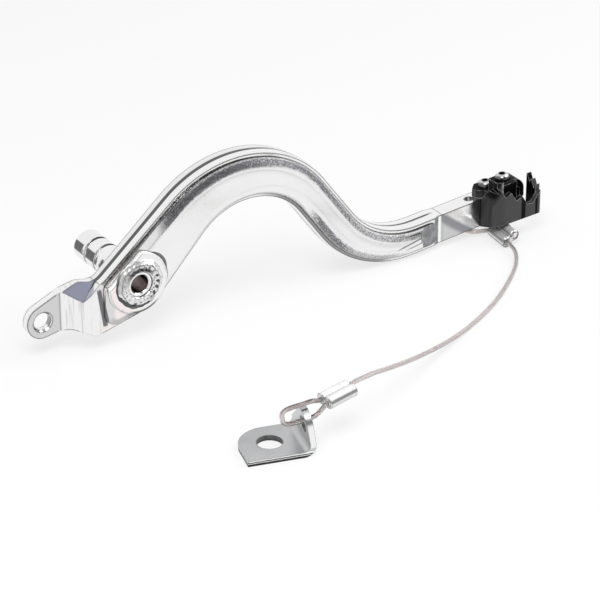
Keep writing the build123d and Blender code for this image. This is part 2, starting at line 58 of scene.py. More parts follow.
# Node helpers
class Shader:
    """A material's node tree, with short calls for the nodes used below.

    Lengths are in mm. A mask is a value from 0 to 1 over the surface.
    """

    def __init__(self, name):
        self.mat = bpy.data.materials.new(name)
        self.mat.use_nodes = True
        self.tree = self.mat.node_tree
        self.bsdf = self.tree.nodes["Principled BSDF"]
        coords = self.tree.nodes.new("ShaderNodeTexCoord")
        self.place = coords.outputs["Object"]
        self.normal = coords.outputs["Normal"]
        scaled = self.tree.nodes.new("ShaderNodeVectorMath")
        scaled.operation = "SCALE"
        scaled.inputs["Scale"].default_value = 1.0 / MM
        self.put(scaled.inputs[0], self.place)
        self.x, self.y, self.z = self.split(scaled.outputs["Vector"])
        self.nx, self.ny, self.nz = self.split(self.normal)

    def put(self, socket, value):
        if isinstance(value, bpy.types.NodeSocket):
            self.tree.links.new(value, socket)
        else:
            socket.default_value = value

    def math(self, op, a, b=0.0):
        n = self.tree.nodes.new("ShaderNodeMath")
        n.operation = op
        self.put(n.inputs[0], a)
        self.put(n.inputs[1], b)
        return n.outputs[0]

    def chain(self, op, first, others):
        for other in others:
            first = self.math(op, first, other)
        return first

    def add(self, first, *others):
        return self.chain("ADD", first, others)

    def less(self, a, b):
        return self.math("SUBTRACT", a, b)

    def both(self, first, *others):
        """The product of masks: 1 only where all of them are."""
        return self.chain("MULTIPLY", first, others)

    def most(self, first, *others):
        """The largest of masks: 1 where any of them is."""
        return self.chain("MAXIMUM", first, others)

    def without(self, mask):
        """1 where the mask is 0."""
        return self.less(1.0, mask)

    def size(self, value):
        return self.math("ABSOLUTE", value)

    def away(self, value, middle):
        """How far a value is from a middle, either way."""
        return self.size(self.less(value, middle))

    def radius(self, a, b):
        return self.math("SQRT", self.add(self.both(a, a), self.both(b, b)))

    def ring(self):
        """Distance from the pivot axis."""
        return self.radius(self.x, self.z)

    def ramp(self, value, low, high, to_low=0.0, to_high=1.0):
        """A smooth step, from to_low where the value is low to to_high where it is high."""
        n = self.tree.nodes.new("ShaderNodeMapRange")
        n.interpolation_type = "SMOOTHSTEP"
        for socket, v in zip(n.inputs, (value, low, high, to_low, to_high)):
            self.put(socket, v)
        return n.outputs[0]

    def band(self, value, start, full, fade, end):
        """1 from full to fade, and 0 before start and after end."""
        return self.both(self.ramp(value, start, full), self.ramp(value, end, fade))

    def noise(self, scale, detail=3.0, rough=0.55, stretch=None):
        """Noise about 0.5, with this many cells to the metre."""
        n = self.tree.nodes.new("ShaderNodeTexNoise")
        n.inputs["Scale"].default_value = scale
        n.inputs["Detail"].default_value = detail
        n.inputs["Roughness"].default_value = rough
        source = self.place
        if stretch:
            m = self.tree.nodes.new("ShaderNodeMapping")
            m.inputs["Scale"].default_value = stretch
            self.put(m.inputs["Vector"], source)
            source = m.outputs["Vector"]
        self.put(n.inputs["Vector"], source)
        return n.outputs["Fac"]

    def spread(self, noise, low=0.0, high=1.0):
        """The range that a noise mostly has, spread from low to high."""
        return self.ramp(noise, 0.3, 0.7, low, high)

    def split(self, vector):
        n = self.tree.nodes.new("ShaderNodeSeparateXYZ")
        self.put(n.inputs[0], vector)
        return n.outputs

    def mix(self, factor, a, b):
        n = self.tree.nodes.new("ShaderNodeMix")
        n.data_type = "RGBA"
        self.put(n.inputs[0], factor)
        self.put(n.inputs[6], a)
        self.put(n.inputs[7], b)
        return n.outputs[2]

    def layers(self, base, *coats):
        """Colours laid over a base in turn, each as (mask, strength, colour)."""
        for mask, strength, colour in coats:
            base = self.mix(self.both(mask, strength), base, colour)
        return base

    def dot(self, a, b):
        n = self.tree.nodes.new("ShaderNodeVectorMath")
        n.operation = "DOT_PRODUCT"
        self.put(n.inputs[0], a)
        self.put(n.inputs[1], b)
        return n.outputs["Value"]

    def towards(self, axis, low, high):
        """1 where the surface faces along the axis."""
        return self.ramp(self.dot(self.normal, axis), low, high)

    def smoothed(self, radius):
        """The surface normal, averaged over a radius."""
        bevel = self.tree.nodes.new("ShaderNodeBevel")
        bevel.samples = 6
        bevel.inputs["Radius"].default_value = radius * MM
        return bevel.outputs[0]

    def edges(self, radius, low=0.01, high=0.12):
        """1 along sharp edges, inside and outside corners alike."""
        geo = self.tree.nodes.new("ShaderNodeNewGeometry")
        straight = self.dot(self.smoothed(radius), geo.outputs["Normal"])
        return self.ramp(straight, 1.0 - high, 1.0 - low, 1.0, 0.0)

    def bump(self, height, distance, strength=1.0, under=None):
        n = self.tree.nodes.new("ShaderNodeBump")
        n.inputs["Distance"].default_value = distance * MM
        self.put(n.inputs["Strength"], strength)
        self.put(n.inputs["Height"], height)
        if under:
            self.put(n.inputs["Normal"], under)
        return n.outputs["Normal"]

    def finish(self, colour, rough, normal, metal=1.0):
        self.put(self.bsdf.inputs["Base Color"], colour)
        self.put(self.bsdf.inputs["Roughness"], rough)
        self.put(self.bsdf.inputs["Normal"], normal)
        self.put(self.bsdf.inputs["Metallic"], metal)
        return self.mat


def grey(v, tint=(1.0, 1.0, 1.0)):
    return (v * tint[0], v * tint[1], v * tint[2], 1.0)


# Tints for the greys, as red, green and blue
cool = (0.97, 0.98, 1.06)
faintly_cool = (0.99, 0.98, 1.03)
violet = (0.98, 0.94, 1.12)
blue = (0.9, 0.95, 1.26)
dull_blue = (0.94, 0.96, 1.14)
slate = (0.97, 0.97, 1.1)
rosy = (1.0, 0.925, 0.905)
warm = (1.05, 0.97, 0.95)
oily = (1.06, 0.98, 0.97)
shade_reddish = (1.1, 0.97, 0.95)
brown = (1.2, 0.97, 0.92)
zinc = (0.99, 1.0, 1.01)
cream = (1.0, 0.975, 0.965)
ivory = (1.0, 0.985, 0.98)
straw = (1.05, 0.98, 0.96)
pale_straw = (1.02, 0.98, 0.97)


# Forged and polished arm
class ArmShader(Shader):
    """The arm's shader, with the measures and masks that its functions share.

    face is how squarely the surface faces sideways, and off is its distance from the mid-plane.
    """

    facet_axis = (-0.259, -0.828, 0.498)
    flat_axis = (0.322, -0.947, 0.0)
    rim_half = 5.1
    crescent_r = 14.4
    crescent_width = 1.5
    flat_x = 149.0
    strap_x = 160.5

    def __init__(self, name):
        super().__init__(name)
        self.face = self.size(self.ny)
        self.off = self.size(self.y)
        self.squarely = self.ramp(self.face, 0.97, 0.99)
        self.flank = self.band(self.face, 0.55, 0.75, 0.89, 0.99)
        inside, outside = self.rim_half - 0.2, self.rim_half + 0.2
        self.rim = self.both(self.squarely, self.band(self.off, inside, inside + 0.1, outside - 0.1, outside))


def arm_hollow(s):
    """Hollow beside the rim, left grainy by the polishing belt, with a painted dark reflection over it."""
    upper = s.both(s.ramp(s.nz, 0.05, 0.22), s.ramp(s.x, 88, 120, 1.0, 0.7), s.ramp(s.x, 146, 139, 0.4, 1.0))
    bowl = s.both(s.ramp(s.x, 86, 95), s.ramp(s.x, 114, 104, 0.6, 1.0))
    lower = s.both(s.ramp(s.nz, -0.03, -0.2), bowl, s.ramp(s.x, 150, 130))
    first = s.both(s.band(s.face, 0.55, 0.75, 0.945, 0.9998), s.ramp(s.nz, 0.0, 0.12))
    first = s.both(first, s.ramp(s.x, 90, 60, 0.0, 0.85))
    hollow = s.most(s.both(s.flank, s.add(upper, lower)), first)
    return s.both(hollow, s.ramp(s.x, 8, 19), s.ramp(s.off, 5.7, 6.5))


def arm_shade(s):
    """Crown shaded towards the hollow."""
    wide = s.split(s.smoothed(6.0))[2]
    crown = s.both(s.ramp(s.face, 0.95, 0.98), s.ramp(s.off, 6.6, 7.2))
    above = s.both(s.ramp(s.less(wide, s.nz), 0.0, 0.22), s.band(s.x, 16, 30, 140, 150))
    beneath = s.both(s.ramp(s.less(s.nz, wide), 0.0, 0.22), s.band(s.x, 84, 93, 104, 118))
    return s.both(s.most(above, beneath), crown)


def arm_lines(s):
    """Painted dark lines: painted reflections along sharp edges and the parting ridge, painted shade on the
    wall beside the rim, and painted shadow on the rim's under edge.
    """
    bold = s.less(s.off, s.ramp(s.x, 85, 45, 0.1, 0.5))
    ridge = s.both(s.ramp(bold, 0.75, 0.4), s.ramp(s.face, 0.5, 0.3), s.ramp(s.x, 161, 156))
    rear_corner = s.both(s.ramp(s.x, -11, -13), s.ramp(s.z, 3, 0))
    wall = s.both(s.band(s.off, 4.4, 4.6, 5.4, 5.9), s.ramp(s.face, 0.75, 0.5), s.ramp(s.x, -20, -17))
    wall = s.both(wall, s.without(rear_corner), 0.4)
    slope = s.add(s.z, s.both(s.less(s.x, 75), 1.1))
    below = s.both(s.ramp(slope, 40, 34), s.band(s.x, 60, 78, 125, 140))
    heel = s.both(s.ramp(s.z, -8, -10), s.band(s.x, -6, 0, 20, 26))
    painted_shade_band = s.most(s.both(s.rim, below, 0.75), s.both(s.squarely, heel, s.ramp(s.off, 5.4, 5.2)))
    line = s.most(s.edges(0.95, 0.003, 0.04), ridge, wall, painted_shade_band)
    # Fainter at the lug's spot face, along the joggle and on the pad around the boss
    spot = s.band(s.x, -34, -32.6, -31.4, -30)
    seam = s.both(s.band(s.x, -26, -25, -16.4, -15.8), s.ramp(s.ny, -0.6, -0.8))
    pad = s.both(s.band(s.x, -16.6, -15.8, -3, 3), s.ramp(s.off, 4.6, 4.9), s.ramp(s.z, 9, 3, 0.0, 0.85))
    return s.both(line, s.without(s.both(s.most(spot, seam), 0.8)), s.without(pad))


def arm_flat(s):
    """Milled flat before the strap, up to a straight end."""
    flat = s.both(s.towards(s.flat_axis, 0.98, 0.995), s.ramp(s.x, 140, 144))
    reach = s.less(s.x, s.both(s.y, 0.72))
    patch = s.both(s.ramp(reach, 155.1, 155.6), s.ramp(s.x, 159.2, 158.8), s.ramp(s.ny, -0.3, -0.5))
    return s.most(flat, s.both(patch, s.without(s.rim)))


def arm_boss(s, ring, angle):
    """Painted shade on the side of the boss, and a painted dark crescent for the shaded wall that the
    spot-facing cutter left on the crown beside it.
    """
    side = s.both(s.band(ring, 12.9, 13.6, 14.8, 15.2), s.ramp(s.face, 0.82, 0.6))
    side = s.both(side, s.ramp(s.off, 5.4, 5.8), s.ramp(s.x, 3, 8))
    width = s.band(angle, 0.0, 0.6, 0.7, 1.35)
    past = s.less(s.less(ring, s.crescent_r), s.both(width, s.crescent_width))
    crescent = s.both(s.ramp(past, 0.1, -0.25), s.ramp(ring, s.crescent_r - 0.1, s.crescent_r + 0.1))
    crescent = s.both(crescent, s.ramp(s.ny, -0.75, -0.85), s.ramp(width, 0.05, 0.2))
    return s.most(side, crescent)


def arm_keel(s, ring, angle):
    """Shadowed lower edge of the boss."""
    lowest = s.both(s.band(angle, -2.0, -1.7, -1.05, -0.75), s.ramp(ring, 12.9, 13.4))
    return s.both(lowest, s.ramp(s.ny, -0.2, -0.4), s.ramp(s.off, 6.0, 7.0))


def arm_strap_reflection(s, cloud):
    """Cloudy streaks on the strap's flank: a painted dark reflection of the step."""
    strap = s.both(s.ramp(s.x, s.strap_x, s.strap_x + 2), s.squarely)
    drift = s.both(s.less(cloud, 0.5), 3)
    lean = s.add(s.z, s.both(s.x, 0.72), drift)
    streaky = s.both(s.ramp(lean, 106.3, 103.6), s.ramp(lean, 98.0, 101.5, 0.45, 1.0))
    toe_side = s.ramp(s.add(s.x, s.both(s.z, 0.55), drift), 168.5, 174)
    return s.both(strap, s.most(streaky, toe_side, s.ramp(s.x, s.strap_x + 6, s.strap_x + 2, 0.0, 0.6)))


def arm_creases(s):
    """Painted shade along the creases where the crown runs out before the milled flat, and along the curl
    that ends them.
    """
    before = s.less(s.x, s.flat_x + 1)
    upper = (-17.4, 0.04, 139, 0.45)
    middle = (-19.4, 0.21, 134, 0.6)
    lower = (-21.8, 0.21, 139, 0.5)
    creases = []
    for height, slope, start, half in (middle, lower, upper):
        miss = s.away(s.z, s.add(s.both(before, slope), height))
        span = s.band(s.x, start, start + 5, s.flat_x, s.flat_x + 0.6)
        creases.append(s.both(s.ramp(miss, half, 0.3 * half), span))
    curl = s.both(s.ramp(s.away(s.x, s.flat_x), 0.55, 0.2), s.band(s.z, -22.4, -21.8, -19.4, -18.4))
    return s.both(s.most(curl, *creases), s.ramp(s.ny, -0.5, -0.7))


def arm_eye(s):
    """Patches on the wall of the push-rod eye."""
    eye_x, _, eye_z = mount_place("pushrod_eye")
    eye_r = mount_radius("pushrod_eye")
    out = s.radius(s.less(s.x, eye_x), s.less(s.z, eye_z))
    return s.both(s.ramp(out, eye_r + 0.3, eye_r + 0.1), s.ramp(s.noise(260.0, 2.0), 0.45, 0.6))


def arm_metal():
    s = ArmShader("arm_metal_forged")
    grain = s.noise(1700.0, 4.0, 0.75)
    cloud = s.noise(45.0, 3.0)
    ring = s.ring()
    angle = s.math("ARCTAN2", s.z, s.x)
    # Slanted facet and milled flat, painted blue-grey as dark reflections; the flat has no grain or dark
    # lines
    facet = s.both(s.towards(s.facet_axis, 0.985, 0.995), s.ramp(s.x, -15, -17))
    flat = arm_flat(s)
    plain = s.without(flat)
    hollow = arm_hollow(s)
    # Painted dark reflection in the hollow, speckled by the grain
    speckle = s.add(hollow, s.both(s.less(grain, 0.5), hollow, 4.5))
    dark = s.both(s.ramp(speckle, 0.1, 1.1), plain)
    line = s.most(s.both(arm_lines(s), plain), arm_keel(s, ring, angle))
    # Inboard flank of the first bend, seen past the crest, painted grey as shade
    far = s.both(s.ramp(s.ny, 0.05, 0.2), s.ramp(s.face, 0.9, 0.7))
    far = s.both(far, s.ramp(s.nz, 0.1, 0.4), s.ramp(s.x, 90, 60))
    # Pad around the boss, a painted shadow band on its end flank, the spot-faced lug, and painted grey
    # reflection streaks on the drawn joggle
    pad = s.both(s.ramp(s.ny, -0.85, -0.95), s.band(s.x, -16.5, -15.5, -6, 4))
    slant = s.add(s.x, s.both(s.z, 0.148))
    end = s.both(s.band(slant, -18.5, -18.2, -16.3, -16.0), s.ramp(s.ny, -0.6, -0.8))
    end = s.both(end, s.band(s.z, -19, -18, -1.0, 0.5))
    lug = s.both(s.ramp(s.face, 0.98, 0.995), s.ramp(s.x, -31.5, -32.2))
    drawn = s.noise(900.0, 2.0, 0.5, stretch=(1.0, 1.0, 0.05))
    streak = s.both(s.ramp(drawn, 0.52, 0.7), s.band(s.x, -32, -30, -24, -20))
    # Painted highlight on the bend where the milled flat meets the strap
    bend = s.both(s.band(s.x, 158.6, 159.4, 161.6, 162.6), s.ramp(s.ny, -0.8, -0.9))
    mottle = s.spread(s.noise(350.0, 3.0, 0.6))
    base = s.layers(
        s.mix(cloud, grey(0.83), grey(0.91)),
        (far, 0.8, grey(0.52)),
        (arm_shade(s), 0.75, grey(0.40, faintly_cool)),
        (arm_strap_reflection(s, cloud), 0.9, grey(0.24, cool)),
        (bend, 1.0, grey(0.96)),
        (arm_eye(s), 0.7, grey(0.12)),
        (pad, 0.9, grey(0.9, rosy)),
        (lug, 1.0, grey(0.64)),
        (streak, 0.5, grey(0.42)),
        (dark, 0.93, grey(0.10, violet)),
        (facet, 0.95, grey(0.30, blue)),
        (flat, 0.95, s.mix(mottle, grey(0.15, dull_blue), grey(0.36, cool))),
        (end, 0.9, grey(0.11, slate)),
        (arm_creases(s), 0.8, grey(0.10)),
        (arm_boss(s, ring, angle), 0.88, grey(0.10)),
        (line, 0.93, grey(0.06)),
    )
    rough = s.add(s.spread(s.noise(600.0, 3.0), 0.12, 0.22), s.both(dark, 0.25))
    scratch = s.noise(260.0, 2.0, 0.5, stretch=(1.0, 6.0, 1.0))
    normal = s.bump(scratch, 0.02, 0.3)
    normal = s.bump(grain, 0.06, s.ramp(hollow, 0.0, 0.6, 0.3, 1.0), under=normal)
    # Less mirror-like: the blasted flank beside the pad, the foot of the hollow and the cut faces
    blasted = s.both(s.flank, s.band(s.x, -22, -18, 9, 18))
    foot = s.both(s.flank, s.ramp(s.off, 6.7, 6.2), s.ramp(s.x, 20, 34))
    soft = s.most(blasted, s.both(foot, 0.8), facet, flat)
    return s.finish(base, rough, normal, s.without(s.both(soft, 0.85)))


# Turned pivot tube
def turned_metal():
    s = Shader("tube_turned")
    rings = s.noise(2850.0, 2.0, 0.6, stretch=(0.02, 1.0, 0.02))
    cloud = s.noise(90.0, 3.0)
    ring = s.ring()
    # Painted dark lines along the edges, darker on one side
    line = s.both(s.edges(0.4), s.ramp(s.x, -5, 1, 0.25, 1.0))
    # Painted shade in the grooves, darker on one side, and a painted dark reflection in a stripe along the
    # rear of the lands
    bore_r = mount_radius("pivot_bore")
    land_r = mount_radius("pivot_journal")
    shallow, deep = land_r - 0.15, land_r - 0.4
    groove = s.both(s.band(ring, 5.8, 6.1, deep, shallow), s.ramp(s.y, 10, 12))
    groove = s.both(groove, s.ramp(s.x, -4, 1, 0.05, 0.8))
    angle = s.math("ARCTAN2", s.z, s.both(s.x, -1.0))
    stripe = s.band(angle, -0.04, 0.04, 0.60, 0.68)
    patchy = s.noise(300.0, 3.0, 0.6, stretch=(0.3, 1.0, 0.3))
    patchy = s.less(patchy, s.ramp(s.y, 19, 17, 0.0, 0.12))
    stripe_reflection = s.both(stripe, s.ramp(patchy, 0.36, 0.42), s.ramp(s.y, 9.7, 10.2), s.ramp(ring, deep, shallow))
    base = s.layers(
        s.mix(cloud, grey(0.80), grey(0.90)),
        (stripe_reflection, 0.92, grey(0.07)),
        (groove, 1.0, grey(0.14)),
        (s.ramp(ring, bore_r + 0.3, bore_r + 0.1), 0.85, grey(0.60, oily)),
        (line, 0.75, grey(0.12)),
    )
    rough = s.spread(rings, 0.12, 0.26)
    return s.finish(base, rough, s.bump(rings, 0.03, 0.5))


# Folded step
def black_coat():
    s = Shader("step_satin_black")
    peel = s.noise(800.0, 3.0)
    fine = s.noise(3500.0, 2.0)
    cloud = s.noise(120.0, 3.0)
    # Painted light and shade: the outboard wall, the left wall and the cage's tops are painted as lit faces,
    # save in the two press marks, painted dark as shade; the inside is painted deep black as shade
    cage = s.ramp(s.y, -8, -9)
    lean = s.less(s.x, s.both(s.z, 0.45))
    front = s.both(s.ramp(s.ny, -0.2, -0.5), s.ramp(lean, 188, 191), cage)
    slot = s.band(s.x, 198.8, 199.2, 201.2, 201.6)
    nick = s.band(s.x, 206.8, 207.1, 208.1, 208.4)
    lit_front = s.both(front, s.without(s.both(s.most(slot, nick), 0.92)))
    left = s.both(s.ramp(s.nx, -0.5, -0.8), s.ramp(s.x, 190, 187), s.ramp(s.z, -6, -9))
    cut = s.both(s.ramp(s.nz, 0.3, 0.6), cage, s.ramp(s.x, 202, 204))
    lit_faces = s.most(lit_front, s.both(left, 0.55), cut)
    chips = s.ramp(s.noise(420.0, 4.0, 0.7), 0.38, 0.58, 0.2, 1.0)
    worn = s.both(s.edges(0.6, 0.02, 0.14), chips)
    base = s.layers(
        s.mix(cloud, grey(0.0015), grey(0.004)),
        (lit_faces, 1.0, s.mix(cloud, grey(0.036), grey(0.050))),
        (worn, 0.75, grey(0.42)),
    )
    s.put(s.bsdf.inputs["Specular IOR Level"], s.ramp(lit_faces, 0.0, 1.0, 0.05, 0.45))
    rough = s.spread(peel, 0.30, 0.46)
    return s.finish(base, rough, s.bump(fine, 0.02, 0.4), metal=0.0)


# Step screws
screws_x = (189.5, 199.2)
socket_r = 1.5
shaded_axis = (-0.75, -0.45, 0.48)


def screw_zinc():
    s = Shader("screw_zinc")
    cloud = s.noise(500.0, 4.0, 0.6)
    sockets = []
    for at in screws_x:
        out = s.radius(s.less(s.x, at), s.y)
        sockets.append(s.ramp(out, socket_r + 0.25, socket_r))
    # Painted shade on the side along shaded_axis, on the lower sides and in the sockets, and painted dark
    # lines along the edges
    base = s.layers(
        s.mix(cloud, grey(0.40), grey(0.82)),
        (s.towards(shaded_axis, 0.80, 0.96), 0.8, grey(0.16, shade_reddish)),
        (s.ramp(s.nz, 0.72, 0.5), 0.85, grey(0.10)),
        (s.most(*sockets), 0.93, grey(0.05)),
        (s.edges(0.3), 0.6, grey(0.12)),
    )
    rough = s.spread(cloud, 0.16, 0.32)
    return s.finish(base, rough, s.bump(cloud, 0.02, 0.3))


# Pressed ferrules, with painted shade bands along the barrels and painted dark edge lines; the toe's is
# painted dark underneath as shade, and darker in patches on its outboard end
def ferrule_metal():
    s = Shader("ferrule_pressed")
    cloud = s.noise(300.0, 4.0, 0.6)
    drawn = s.noise(1400.0, 3.0, 0.6)
    end = s.both(s.ramp(s.ny, -0.8, -0.9), s.ramp(s.noise(700.0, 3.0, 0.6), 0.46, 0.54))
    toe_shade_and_patches = s.both(s.most(end, s.ramp(s.nz, -0.1, -0.35)), s.ramp(s.y, -60, -40))
    base = s.layers(
        s.mix(cloud, grey(0.74), grey(0.92)),
        (s.band(s.nz, 0.08, 0.22, 0.52, 0.66), 0.8, grey(0.20)),
        (toe_shade_and_patches, 0.8, grey(0.07)),
        (s.edges(0.75, 0.02, 0.14), 0.85, grey(0.10)),
    )
    rough = s.spread(cloud, 0.16, 0.30)
    return s.finish(base, rough, s.bump(drawn, 0.02, 0.35), metal=0.55)


# Bent tab
def tab_steel():
    s = Shader("tab_zinc_sheet")
    cloud = s.noise(60.0, 4.0, 0.6)
    fine = s.noise(1500.0, 3.0, 0.6)
    torn = s.noise(500.0, 4.0, 0.7)
    level = s.size(s.nz)
    hole_x, hole_y, hole_z = mount_place("tab_bolt_hole")
    hole_r = mount_radius("tab_bolt_hole")
    sheet = mounts["tab_bolt_hole"]["dims"]["length_mm"]
    below = s.less(hole_z + sheet / 2, s.z)
    # Sheared edge of the flat, from its top face down: roll-over, a dark line, the burnish, the torn zone
    side = s.both(s.ramp(level, 0.35, 0.15), s.ramp(below, -0.3, 0.0))
    depth = s.less(below, s.both(s.less(torn, 0.5), 0.5))
    groove = s.band(depth, 0.55, 0.75, 1.05, 1.25)
    tear = s.both(side, s.most(groove, s.ramp(depth, 1.35, 1.55)))
    burnish = s.less(side, tear)
    # Wall of the bolt hole, and the bright sheared edge of the tongue
    out = s.radius(s.less(s.x, hole_x), s.less(s.y, hole_y))
    hole = s.both(s.ramp(out, hole_r + 0.4, hole_r + 0.2), s.ramp(level, 0.6, 0.3))
    tongue = s.both(s.ramp(below, -1.0, -2.0), s.ramp(s.ny, -0.7, -0.88))
    base = s.layers(
        s.mix(cloud, grey(0.46, zinc), grey(0.66, zinc)),
        (s.most(burnish, tongue), 0.9, grey(0.92)),
        (tear, 0.95, grey(0.02)),
        (hole, s.ramp(torn, 0.4, 0.6, 0.75, 0.95), grey(0.07)),
        # Painted dark lines along the edges
        (s.edges(0.5, 0.01, 0.10), 0.8, grey(0.07)),
    )
    rough = s.add(s.spread(cloud, 0.24, 0.36), s.both(tear, 0.2))
    return s.finish(base, rough, s.bump(fine, 0.012, 0.3), s.without(s.both(hole, 0.8)))


finishes = {
    "pedal_arm": arm_metal(),
    "pivot_tube": turned_metal(),
    "toe_step": black_coat(),
    "step_screws": screw_zinc(),
    "toe_ferrule": ferrule_metal(),
    "anchor_tab": tab_steel(),
}
finishes["tab_ferrule"] = finishes["toe_ferrule"]
for node, mat in finishes.items():
    mesh = nodes[node].data
    mesh.materials.clear()
    mesh.materials.append(mat)


# Helpers for new pieces
def add_object(name, data):
    obj = bpy.data.objects.new(name, data)
    bpy.context.scene.collection.objects.link(obj)
    return obj


def smooth_object(name, bm, mat):
    """The bmesh as a smooth-shaded object with one material."""
    bmesh.ops.recalc_face_normals(bm, faces=bm.faces)
    mesh = bpy.data.meshes.new(name)
    bm.to_mesh(mesh)
    bm.free()
    for poly in mesh.polygons:
        poly.use_smooth = True
    mesh.materials.append(mat)
    return add_object(name, mesh)


# Weld: a bead laid in short overlapping runs, from the boss up over the rim of the tube
weld_inner_r, weld_inner_y = 5.6, -9.84
weld_outer_r, weld_outer_y = 11.5, -8.66
weld_rise = 1.2
weld_dip = 0.38
weld_rough = 0.08
weld_ledge = 0.26
weld_runs = 19
weld_bow = 3.6
weld_bow_at = 0.42
weld_wander = ((0.22, 3, 0.6), (0.16, 7, 2.1), (0.10, 16, 0.0))


def weld_metal():
    s = Shader("weld_as_laid")
    grain = s.noise(1500.0, 5.0, 0.7)
    cloud = s.noise(420.0, 3.0)
    ring = s.ring()
    angle = s.math("ARCTAN2", s.z, s.x)
    across = s.math("DIVIDE", s.less(ring, weld_inner_r), weld_outer_r - weld_inner_r)
    # Painted shade in the valleys between the runs and in the notches on the toe side
    bow = s.both(s.math("POWER", s.away(across, weld_bow_at), 2.0), weld_bow)
    turn = s.add(s.both(angle, weld_runs / (2 * math.pi)), bow, s.both(cloud, 0.08))
    ripple = s.size(s.math("SINE", s.both(turn, math.pi)))
    petal = s.both(s.ramp(ripple, 0.50, 0.0), s.band(across, 0.08, 0.2, 0.45, 0.70))
    petal = s.both(petal, s.ramp(s.add(s.x, s.z), -8, 4, 0.25, 0.9))
    toe_side = s.math("DIVIDE", s.less(s.both(s.x, 0.978), s.both(s.z, 0.208)), ring)
    taper = s.ramp(s.away(across, 0.5), 0.0, 0.22, 0.8, 0.0)
    notch = s.both(s.ramp(s.less(ripple, taper), 0.08, -0.08), s.ramp(taper, 0.02, 0.12))
    notch = s.both(notch, s.ramp(toe_side, 0.6, 0.85))
    # Painted shade: a dark line on the wavy ledge two thirds of the way out, the dark rim and foot, the arc
    # above the tube and the tube's mouth
    wave = s.add(s.math("SINE", s.add(s.both(angle, 3.0), 0.6)), s.math("SINE", s.both(angle, 8.0)))
    wavy = s.less(s.add(across, s.both(cloud, 0.05)), s.both(wave, 0.025))
    ledge = s.ramp(s.away(wavy, 0.66), 0.05, 0.01, 0.0, 0.8)
    rim = s.both(s.ramp(s.away(wavy, 0.97), 0.09, 0.03), s.ramp(s.add(s.x, s.z), 3, -9, 0.25, 1.0))
    sink = s.math("DIVIDE", s.add(s.both(s.x, -0.342), s.both(s.z, -0.94)), ring)
    foot = s.ramp(s.add(across, s.ramp(sink, 0.35, 0.9, 0.0, 0.40)), 1.02, 1.07)
    rise = s.math("DIVIDE", s.z, ring)
    arc = s.both(s.ramp(rise, 0.35, 0.85), s.band(across, 0.10, 0.16, 0.34, 0.42))
    mouth = s.ramp(across, 0.07, 0.02)
    # Upper left painted darker as shade, and rougher
    rear = s.ramp(s.less(s.z, s.x), 5, 11)
    base = s.layers(
        s.mix(cloud, grey(0.66), grey(0.92)),
        (rear, 0.35, grey(0.22)),
        (s.most(petal, notch, ledge, rim, foot, arc, mouth), 0.96, grey(0.06)),
    )
    rough = s.add(s.spread(grain, 0.10, 0.30), s.both(rear, 0.3))
    return s.finish(base, rough, s.bump(grain, 0.06, 0.6))


def weld_point(a, t):
    """A point of the bead at an angle a, from its inner edge at t = 0 to its outer edge at 1."""
    wander = sum(size * math.sin(count * a + phase) for size, count, phase in weld_wander)
    arch = (1 - (2 * t - 1) ** 4) ** 0.6
    turn = weld_runs * (a + 0.05 * math.sin(5 * a + 1.0)) / (2 * math.pi) + weld_bow * (t - weld_bow_at) ** 2
    ripple = abs(math.sin(math.pi * turn)) ** 0.5
    rough = weld_rough * math.sin(23 * a + 9 * t) * math.sin(11 * t + 5 * a)
    ledge = weld_ledge * math.sin(4 * math.pi * t + 1.1 * math.sin(4 * a + 0.5))
    lift = arch * (weld_rise * (1 - weld_dip + weld_dip * ripple) + rough + ledge)
    outer_r = weld_outer_r + wander * t + 0.5 * wander * (1 - t)
    r = weld_inner_r + (outer_r - weld_inner_r) * t
    y = weld_inner_y + (weld_outer_y - weld_inner_y) * t - lift
    return (r * math.cos(a) * MM, y * MM, r * math.sin(a) * MM)


def weld_bead():
    around, across = 320, 28
    bm = bmesh.new()
    rows = []
    for i in range(around):
        a = 2 * math.pi * i / around
        rows.append([bm.verts.new(weld_point(a, j / across)) for j in range(across + 1)])
    for r0, r1 in zip(rows, rows[1:] + rows[:1]):
        for j in range(across):
            bm.faces.new((r0[j], r1[j], r1[j + 1], r0[j + 1]))
    obj = smooth_object("weld_bead", bm, weld_metal())
    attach(obj, "pedal")
    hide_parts("pivot_weld_bead")


weld_bead()


# Wire rope: a NURBS line, six strands laid round a core, and a thin clear coat
def coat_clear():
    s = Shader("rope_clear_coat")
    cloud = s.noise(300.0, 3.0)
    s.bsdf.inputs["Transmission Weight"].default_value = 0.9
    s.bsdf.inputs["IOR"].default_value = 1.35
    # Painted shade underneath and, more faintly, along the top, and painted dark shade stripes in the creases
    # of the tab's eye
    painted_shade_band = s.most(s.ramp(s.nz, -0.2, -0.7), s.ramp(s.nz, 0.86, 0.97, 0.0, 0.35))
    eye = s.both(s.ramp(s.x, 24, 20), s.ramp(s.y, -100, -110))
    eye_shade_stripes = s.most(s.ramp(s.nz, 0.0, -0.4), s.ramp(s.nz, 0.72, 0.92))
    base = s.layers(
        s.mix(cloud, grey(0.98, cream), grey(1.0, ivory)),
        (painted_shade_band, 1.0, grey(0.34, warm)),
        (s.both(eye, eye_shade_stripes), s.ramp(cloud, 0.35, 0.55, 0.6, 0.95), grey(0.08, brown)),
    )
    return s.finish(base, s.spread(cloud, 0.10, 0.2), s.bump(cloud, 0.02, 0.3), metal=0.0)


def strand_steel():
    s = Shader("rope_wire")
    fine = s.noise(2600.0, 3.0)
    cloud = s.noise(350.0, 3.0)
    base = s.mix(cloud, grey(0.86, straw), grey(0.98, pale_straw))
    return s.finish(base, s.spread(fine, 0.25, 0.45), s.bump(fine, 0.02, 0.5))


